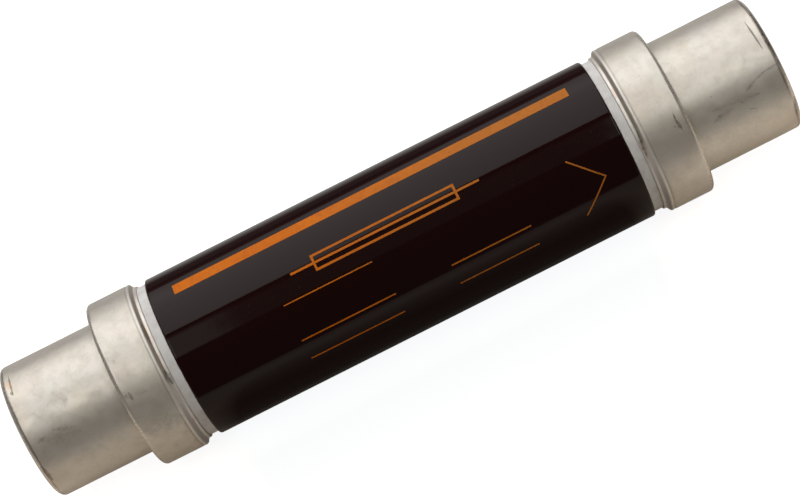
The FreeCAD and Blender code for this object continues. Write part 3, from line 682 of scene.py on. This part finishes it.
def plated_copper(name, seed, marks):
    """Satin nickel over copper, with marks as (kind, from, to, width, strength)."""
    material, tree, shader, _ = new_material(name)
    spot = add(tree, "Group", {"node_tree": around_axis})
    wear = add(tree, "Group", {"node_tree": plating_wear}, Seed=seed)
    solid = spot.outputs["Solid"]
    distance = math_node(tree, "ABSOLUTE", spot.outputs["Along"])
    colour = tint(tree, wear.outputs["Lines"], (0.78, 0.74, 0.68, 1), (0.84, 0.80, 0.75, 1))
    colour = tint(tree, wear.outputs["Haze"], colour, (0.80, 0.74, 0.65, 1))
    tinge = grain(tree, vector_node(tree, "ADD", solid, (seed, 5.0, 9.0)), 0.11, 3.0, 0.6)
    colour = tint(tree, ramp(tree, tinge, 0.56, 0.72, 0.0, 0.55), colour, (0.74, 0.745, 0.64, 1))
    colour = tint(tree, ramp(tree, tinge, 0.44, 0.28, 0.0, 0.55), colour, (0.86, 0.755, 0.68, 1))
    colour = tint(tree, wear.outputs["Stain"], colour, (0.72, 0.68, 0.61, 1))
    colour = tint(tree, ramp(tree, wear.outputs["Spots"], 0.0, 1.0, 0.0, 0.35), colour, (0.40, 0.36, 0.31, 1))
    scratch_share = ramp(tree, wear.outputs["Scratches"], 0.0, 1.0, 0.0, 0.2)
    colour = tint(tree, scratch_share, colour, (0.34, 0.31, 0.27, 1))
    uneven = grain(tree, solid, 0.9, 4.0, 0.65)
    step = ring_mask(tree, distance, *step_ring)
    # Painted shade: the step is darkened on its upper side.
    painted_step_shade = math_node(tree, "MULTIPLY", step, ramp(tree, spot.outputs["Around"], *painted_shade_until, 0.7, 0.0))
    colour = tint(tree, painted_step_shade, colour, (0.33, 0.28, 0.23, 1))
    # Painted light: the step is pale and less metallic on its lower side, as if lit.
    dust = math_node(tree, "MULTIPLY", step, ramp(tree, spot.outputs["Around"], *painted_light_from, 0.0, 0.85))
    colour = tint(tree, dust, colour, (0.80, 0.75, 0.71, 1))
    # The ridge and the lip are tinted pale: partly rubbed plating, partly painted highlight where they catch
    # the light.
    burnish_and_highlight = ring_mask(tree, distance, *ridge_ring)
    burnish_and_highlight = math_node(tree, "MAXIMUM", burnish_and_highlight, ring_mask(tree, distance, *lip_ring))
    colour = tint(tree, ramp(tree, burnish_and_highlight, 0.0, 1.0, 0.0, 0.7), colour, (0.97, 0.94, 0.90, 1))
    rubbed = ramp(tree, grain(tree, solid, 0.22, 3.0), 0.52, 0.64, 0.0, 0.33)
    rubbed = math_node(tree, "MULTIPLY", rubbed, ring_mask(tree, distance, *copper_ring))
    colour = tint(tree, rubbed, colour, (0.72, 0.42, 0.31, 1))
    # A dark line painted in the dip in front of the ridge.
    dark_dip_line = ramp(tree, away_from(tree, distance, dip_line), 0.0, 0.3, 0.35, 0.0)
    colour = tint(tree, dark_dip_line, colour, (0.30, 0.27, 0.23, 1))
    patches = grain(tree, solid, 0.35, 3.0)
    # Painted shade: the crease where the contact meets the collar is darkened, in patches, deep in the
    # corner.
    in_corner = math_node(tree, "MULTIPLY", ramp(tree, spot.outputs["Radius"], *crease_radius, 1.0, 0.0),
                          ramp(tree, patches, 0.3, 0.7, 0.88, 1.0))
    painted_crease_shade = ramp(tree, away_from(tree, distance, shoulder / MM), 0.1, 0.5, 1.0, 0.0)
    colour = tint(tree, math_node(tree, "MULTIPLY", painted_crease_shade, in_corner), colour, (0.05, 0.04, 0.032, 1))
    # Painted reflection: a wavy dark band, in patches, where the contact begins to round over at its end, for
    # the dark room that the rounding mirrors.
    wavy_rim = math_node(tree, "MULTIPLY_ADD", uneven, 0.8, rim_line)
    painted_rim_shade = ramp(tree, away_from(tree, distance, wavy_rim), 0.1, 0.45, 0.75, 0.0)
    painted_rim_shade = math_node(tree, "MULTIPLY", painted_rim_shade, ramp(tree, patches, 0.3, 0.7, 0.6, 1.0))
    colour = tint(tree, painted_rim_shade, colour, (0.26, 0.21, 0.17, 1))
    height = math_node(tree, "MULTIPLY", wear.outputs["Lines"], 0.25)
    height = math_node(tree, "MULTIPLY_ADD", wear.outputs["Scratches"], -0.5, height)
    for kind, start, end, width, strength in marks:
        deep, softness, broken, depth = mark_kinds[kind]
        mark = add(tree, "Group", {"node_tree": stroke}, Place=spot.outputs["Flat"], From=start, To=end,
                   Width=width, Softness=softness)
        share = ramp(tree, uneven, 0.36, 0.62, broken * strength, strength)
        share = math_node(tree, "MULTIPLY", mark.outputs["Mask"], share)
        colour = tint(tree, share, colour, deep)
        height = math_node(tree, "MULTIPLY_ADD", share, -depth, height)
    tree.links.new(colour, shader.inputs["Base Color"])
    # Where painted light makes the step's lower side pale, it is also less metallic.
    tree.links.new(ramp(tree, dust, 0.0, 1.0, 0.70, 0.15), shader.inputs["Metallic"])
    dull = ramp(tree, wear.outputs["Stain"], 0.0, 1.0, 0.37, 0.47)
    cloudy = grain(tree, vector_node(tree, "ADD", solid, (3.0, seed, 1.0)), 0.3, 4.0, 0.6)
    dull = math_node(tree, "ADD", dull, ramp(tree, cloudy, 0.35, 0.65, -0.05, 0.05))
    dull = math_node(tree, "MULTIPLY_ADD", burnish_and_highlight, 0.05, dull)
    rounded = ring_mask(tree, distance, *shoulder_ring)
    rounded = math_node(tree, "MAXIMUM", ramp(tree, distance, *end_ring), rounded)
    dull = math_node(tree, "MULTIPLY_ADD", rounded, -0.14, dull)
    dull = math_node(tree, "MULTIPLY_ADD", wear.outputs["Lines"], 0.08, dull)
    tree.links.new(dull, shader.inputs["Roughness"])
    relief(tree, shader, 0.5, 0.00003, height)
    return material


def cap_profile(side, opening):
    """The drawn cap's outline in the link's frame; side is 1 for the striker end and -1 for the plain end."""
    wall = 1.5 * MM
    reach = contact_end - shoulder
    end_round = 2.0 * MM
    corner = 1.6 * MM
    fillet = 0.5 * MM
    lip_end = 17.02 * MM
    lip_inner = collar_radius - 3.1 * MM
    lip_back = 16.0 * MM
    slope_end = 14.0 * MM
    roll_start = 13.2 * MM
    rim_round = 0.25 * MM
    rim_cut = 0.07 * MM
    line = [(reach, 0.0)]
    if opening:
        line = [(reach - rim_round, opening), (reach - rim_cut, opening + rim_cut)]
        line += [(reach, opening + rim_round)]
    line += spread(line[-1], (reach, contact_radius - end_round), 2.0 * MM)[1:-1]
    line += arc(reach - end_round, contact_radius - end_round, end_round, 0, 90, 10)
    line += spread((reach - end_round, contact_radius), (fillet, contact_radius), 1.0 * MM)[1:-1]
    line += arc(fillet, contact_radius + fillet, fillet, 270, 180, 4)
    line += arc(-corner, collar_radius - corner, corner, 0, 90, 10)
    line += spread((-corner, collar_radius), (-roll_start, collar_radius), 1.0 * MM)[1:]
    roll = [(13.5, 0.03), (13.7, 0.10), (13.9, 0.15), (14.08, 0.13), (14.25, 0.05), (14.5, 0.0),
            (14.75, 0.03), (15.0, 0.15), (15.15, 0.34), (15.35, 0.70), (15.55, 1.02), (15.8, 1.32),
            (16.0, 1.49), (16.15, 1.55), (16.35, 1.56), (16.6, 1.56), (16.8, 1.58), (16.93, 1.64),
            (17.0, 1.74), (17.02, 1.9)]
    line += [(-back * MM, collar_radius - down * MM) for back, down in roll]
    line += [(-lip_end, lip_inner), (-lip_back, lip_inner), (-slope_end, collar_radius - wall)]
    line += [(-wall, collar_radius - wall), (-wall, contact_radius - wall)]
    line += [(reach - wall, contact_radius - wall), (reach - wall, opening)]
    return [(side * (shoulder + along), out) for along, out in line]


def dent(along, angle, place_along, place_angle, size_along, size_around, depth):
    """How far a dent pushes a point of the surface in, as a negative distance."""
    around = math.remainder(angle - place_angle, 2 * math.pi) * contact_radius
    away = math.hypot((along - place_along) / size_along, around / size_around)
    return -depth * math.exp(-away * away)


def cap_shape(seed, dents):
    """The unevenness of a drawn and rolled cap, with its dents."""
    waviness = 0.05
    roll_start = 13.4 * MM
    inside_contact = contact_radius - 1.0 * MM
    inside_collar = collar_radius - 3.05 * MM

    def shape(along, out, angle):
        behind = shoulder - abs(along)
        if out < inside_contact or (out < inside_collar and behind > 0):
            return 0.0
        sideways = Vector((math.sin(angle), math.cos(angle), 0))
        wave = noise.noise(sideways * 1.3 + Vector((seed, 0, along * 60))) * waviness
        if behind > roll_start:
            wave += noise.noise(sideways * 9 + Vector((0, seed, behind * 400))) * waviness
        return wave * MM + sum(dent(along, angle, *each) for each in dents)
    return shape


# The line of the surface that faces the camera is this far around from the top.
view_angle = math.pi / 2 - camera_height_angle


def on_surface(along, degrees_up):
    """A flat place in millimetres, from a distance along and degrees above the line that faces the camera."""
    return (along, (view_angle - math.radians(degrees_up)) * unrolled_radius, 0.0)


def toward(degrees_up):
    """The angle around the axis that lies that many degrees above the line that faces the camera."""
    return view_angle - math.radians(degrees_up)


# The two caps: dents as (along, angle, size along, size around, depth) in metres, and marks as plated_copper
# takes them.
caps = {
    "plain": {
        "side": -1, "opening": 0.0, "seed": 4.0,
        "dents": [
            (-0.1258, toward(46), 0.0012, 0.0042, 0.00022),
            (-0.1180, toward(-9), 0.0050, 0.0060, 0.00008),
            (-0.0905, toward(0), 0.0040, 0.0050, 0.00008),
        ],
        "marks": [
            # Painted highlight: a broad pale band along the cap's lower side.
            ("painted_highlight", on_surface(-130, -62), on_surface(-97, -62), 12.0, 0.6),
            ("smudge", on_surface(-124, -8), on_surface(-112, -16), 5.0, 0.26),
            ("smudge", on_surface(-92.8, -4.5), on_surface(-92.6, -10.5), 0.9, 0.75),
            ("smudge", on_surface(-94.6, -5.5), on_surface(-92.8, -7.5), 1.1, 0.45),
            ("smudge", on_surface(-91.5, -7), on_surface(-87.5, -9), 1.6, 0.25),
            ("smudge", on_surface(-94, -33), on_surface(-82, -35), 8.0, 0.28),
            ("smudge", on_surface(-111, 14), on_surface(-113, 6), 1.2, 0.25),
            ("smudge", on_surface(-125.2, -9.5), on_surface(-122.6, -7.5), 1.2, 0.4),
            ("smudge", on_surface(-119.5, -5), on_surface(-112.5, -11), 1.6, 0.3),
            ("smudge", on_surface(-92.8, 18.5), on_surface(-92.6, 15.5), 0.9, 0.2),
            # Painted shade: a dark line in the groove behind the lip.
            ("smudge", on_surface(-80.2, -2.5), on_surface(-79.7, -13), 1.5, 0.9),
            # Painted shade: a dark tarnish line in the groove, on its upper side.
            ("tarnish", on_surface(-80.5, 34), on_surface(-80.3, 17), 0.7, 0.8),
            ("bare_copper", on_surface(-79.7, 33), on_surface(-79.7, 22), 0.6, 0.5),
            ("bare_copper", on_surface(-126.4, 53), on_surface(-126.2, 41), 1.5, 0.7),
            ("scratch", on_surface(-125.8, 58), on_surface(-126.0, 35), 0.45, 0.85),
            ("scratch", on_surface(-126.4, 40), on_surface(-126.2, 36), 0.7, 0.7),
            # Painted reflection: a dark tarnish patch on the end rim's lower side, where the rounding mirrors
            # the dark room.
            ("tarnish", on_surface(-127.9, -27), on_surface(-127.2, -46), 0.9, 0.8),
        ],
    },
    "striker": {
        "side": 1, "opening": 4.2 * MM, "seed": 57.0,
        "dents": [
            (0.1257, toward(25), 0.0010, 0.0050, 0.00015),
            (0.1120, toward(-20), 0.0060, 0.0050, 0.00008),
            (0.0880, toward(-22), 0.0030, 0.0040, 0.00010),
        ],
        "marks": [
            # Painted highlight: broad pale bands along the cap, on its lower side and along the line that
            # faces the camera.
            ("painted_highlight", on_surface(90, -45), on_surface(130, -42), 24.0, 0.75),
            ("painted_highlight", on_surface(94, 1), on_surface(134, 0), 11.0, 0.7),
            ("smudge", on_surface(104, -15), on_surface(119, -19), 3.2, 0.3),
            ("smudge", on_surface(103, -24), on_surface(110, -20), 2.2, 0.3),
            ("smudge", on_surface(105.3, -3.5), on_surface(105.5, -4.8), 0.6, 0.5),
            ("smudge", on_surface(104.6, -21), on_surface(106.4, -21.8), 0.7, 0.6),
            ("smudge", on_surface(113.2, -18.5), on_surface(113.5, -20.5), 0.6, 0.5),
            ("smudge", on_surface(115.6, -13), on_surface(119.9, -7.7), 0.9, 0.4),
            ("smudge", on_surface(119.6, -7.9), on_surface(123.7, -4.9), 0.8, 0.45),
            ("smudge", on_surface(123.2, -5.1), on_surface(128.2, -4.2), 0.8, 0.45),
            ("scratch", on_surface(114.4, -27), on_surface(116.5, -29.5), 0.3, 0.4),
            ("smudge", on_surface(92.3, -1.0), on_surface(92.0, -12), 0.5, 1.0),
            ("smudge", on_surface(92.4, -6.5), on_surface(92.7, -14), 0.7, 0.8),
            ("smudge", on_surface(90.6, -9.5), on_surface(91.5, -10.5), 0.6, 0.5),
            # Painted shade: a dark line in the groove behind the lip.
            ("smudge", on_surface(80.2, -2), on_surface(79.7, -21), 0.9, 0.9),
            ("scratch", on_surface(125.4, 39.5), on_surface(126.0, 11), 0.42, 0.9),
            # Painted reflection: dark tarnish lines along the end rim, where the rounding mirrors the dark
            # room.
            ("tarnish", on_surface(128.2, 52), on_surface(128.7, -16), 0.6, 0.9),
            ("tarnish", on_surface(128.6, -36), on_surface(127.6, -58), 1.0, 0.8),
            ("bare_copper", on_surface(105.0, 50), on_surface(106.4, 45), 1.1, 0.3),
        ],
    },
}
for end, made in caps.items():
    profile = cap_profile(made["side"], made["opening"])
    cap = turned(f"cap_{end}", profile, outside_facets, cap_shape(made["seed"], made["dents"]))
    plate = plated_copper(f"nickel_plate_{end}", made["seed"], made["marks"])
    cap.data.materials.append(plate)
    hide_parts(f"contact_cap_{end}")
    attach(cap, "fuse_body")

# Print on the glaze: orange enamel ink, screen-printed and baked. A long stripe, a fuse symbol, blank rules
# and an open arrow that points to the striker end.
ink_top = glaze_radius + 0.035 * MM
ink_bottom = glaze_radius - 0.03 * MM
widest_column = 0.45
longest_step = 0.6


def ink_line(points, faces, corners, width, closed=False):
    """Adds one printed line through corners of (millimetres along, degrees up) to points and faces."""
    flat = [Vector((along, math.radians(up_by) * glaze_radius / MM)) for along, up_by in corners]
    count = len(flat)
    sides = []
    for n, here in enumerate(flat):
        before = (here - flat[n - 1]).normalized() if n or closed else (flat[1] - here).normalized()
        after = (flat[(n + 1) % count] - here).normalized() if n < count - 1 or closed else before
        across = Vector((-(before + after).y, (before + after).x)).normalized()
        square = Vector((-after.y, after.x))
        sides.append(across * (width / 2 / across.dot(square)))
    columns = max(1, math.ceil(width / widest_column))
    rows = []
    last = count if closed else count - 1
    for n in range(last):
        start, end = flat[n], flat[(n + 1) % count]
        start_side, end_side = sides[n], sides[(n + 1) % count]
        steps = max(1, math.ceil((end - start).length / longest_step))
        for k in range(steps + (1 if n == last - 1 and not closed else 0)):
            share = k / steps
            centre = start.lerp(end, share)
            side = start_side.lerp(end_side, share)
            ragged = 1 + noise.noise(Vector((centre.x * 2.3, centre.y * 2.3, width))) * 0.05 / width
            rows.append([centre + side * ragged * (2 * c / columns - 1) for c in range(columns + 1)])
    base = len(points)
    for height in (ink_bottom, ink_top):
        for row in rows:
            for place in row:
                angle = view_angle - place.y * MM / glaze_radius
                points.append((place.x * MM, -math.sin(angle) * height, math.cos(angle) * height))
    wide = columns + 1
    layer = len(rows) * wide
    turns = len(rows) if closed else len(rows) - 1
    for n in range(turns):
        here, there = base + n * wide, base + (n + 1) % len(rows) * wide
        for c in range(columns):
            faces.append((here + c, here + c + 1, there + c + 1, there + c))
            faces.append((here + c + layer, there + c + layer, there + c + 1 + layer, here + c + 1 + layer))
        for c in (0, columns):
            faces.append((here + c, there + c, there + c + layer, here + c + layer))
    if not closed:
        for n in (0, len(rows) - 1):
            here = base + n * wide
            for c in range(columns):
                faces.append((here + c, here + c + 1, here + c + 1 + layer, here + c + layer))


# Printed lines as (corners, width in millimetres, closed or not).
prints = {
    "stripe": [([(-67.6, 47.15), (67.3, 47.15)], 4.1, False)],
    "fuse_symbol": [
        ([(-25.0, 11.5), (23.0, 11.5), (23.0, 21.5), (-25.0, 21.5)], 0.75, True),
        ([(-33.0, 16.5), (31.0, 16.5)], 0.75, False),
    ],
    "blank_rules": [
        ([(-39.0, 0.0), (-9.0, 0.0)], 0.35, False),
        ([(-39.0, -26.5), (-7.0, -26.5)], 0.45, False),
        ([(-39.0, -42.5), (-7.0, -42.5)], 0.45, False),
        ([(12.0, -26.5), (39.0, -26.5)], 0.45, False),
        ([(12.0, -42.5), (39.0, -42.5)], 0.45, False),
    ],
    "striker_arrow": [([(56.8, 1.4), (65.9, -18.7), (55.8, -39.4)], 0.46, False)],
}
ink, tree, shader, _ = new_material("orange_enamel_ink")
spot = add(tree, "Group", {"node_tree": around_axis})
solid = spot.outputs["Solid"]
thin = ramp(tree, grain(tree, solid, 0.5, 5.0, 0.65), 0.45, 0.8)
clouded = ramp(tree, grain(tree, solid, 0.12, 2.0), 0.3, 0.7)
colour = tint(tree, clouded, (0.86, 0.215, 0.007, 1), (0.74, 0.175, 0.008, 1))
colour = tint(tree, ramp(tree, spot.outputs["Along"], -30.0, 40.0), colour, (0.62, 0.20, 0.028, 1))
colour = tint(tree, ramp(tree, thin, 0.0, 1.0, 0.0, 0.35), colour, (0.30, 0.075, 0.012, 1))
pinholes = ramp(tree, grain(tree, solid, 4.5, 1.0), 0.74, 0.78)
tree.links.new(tint(tree, pinholes, colour, (0.06, 0.018, 0.006, 1)), shader.inputs["Base Color"])
tree.links.new(ramp(tree, thin, 0.0, 1.0, 0.42, 0.28), shader.inputs["Roughness"])
shader.inputs["Specular IOR Level"].default_value = 0.1
relief(tree, shader, 0.3, 0.00002, grain(tree, solid, 5.0, 3.0))
for name, lines in prints.items():
    points, faces = [], []
    for corners, width, closed in lines:
        ink_line(points, faces, corners, width, closed)
    printed = put(f"print_{name}", smooth_mesh(name, points, faces, sharp_over=40))
    printed.data.materials.append(ink)
    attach(printed, "fuse_body")
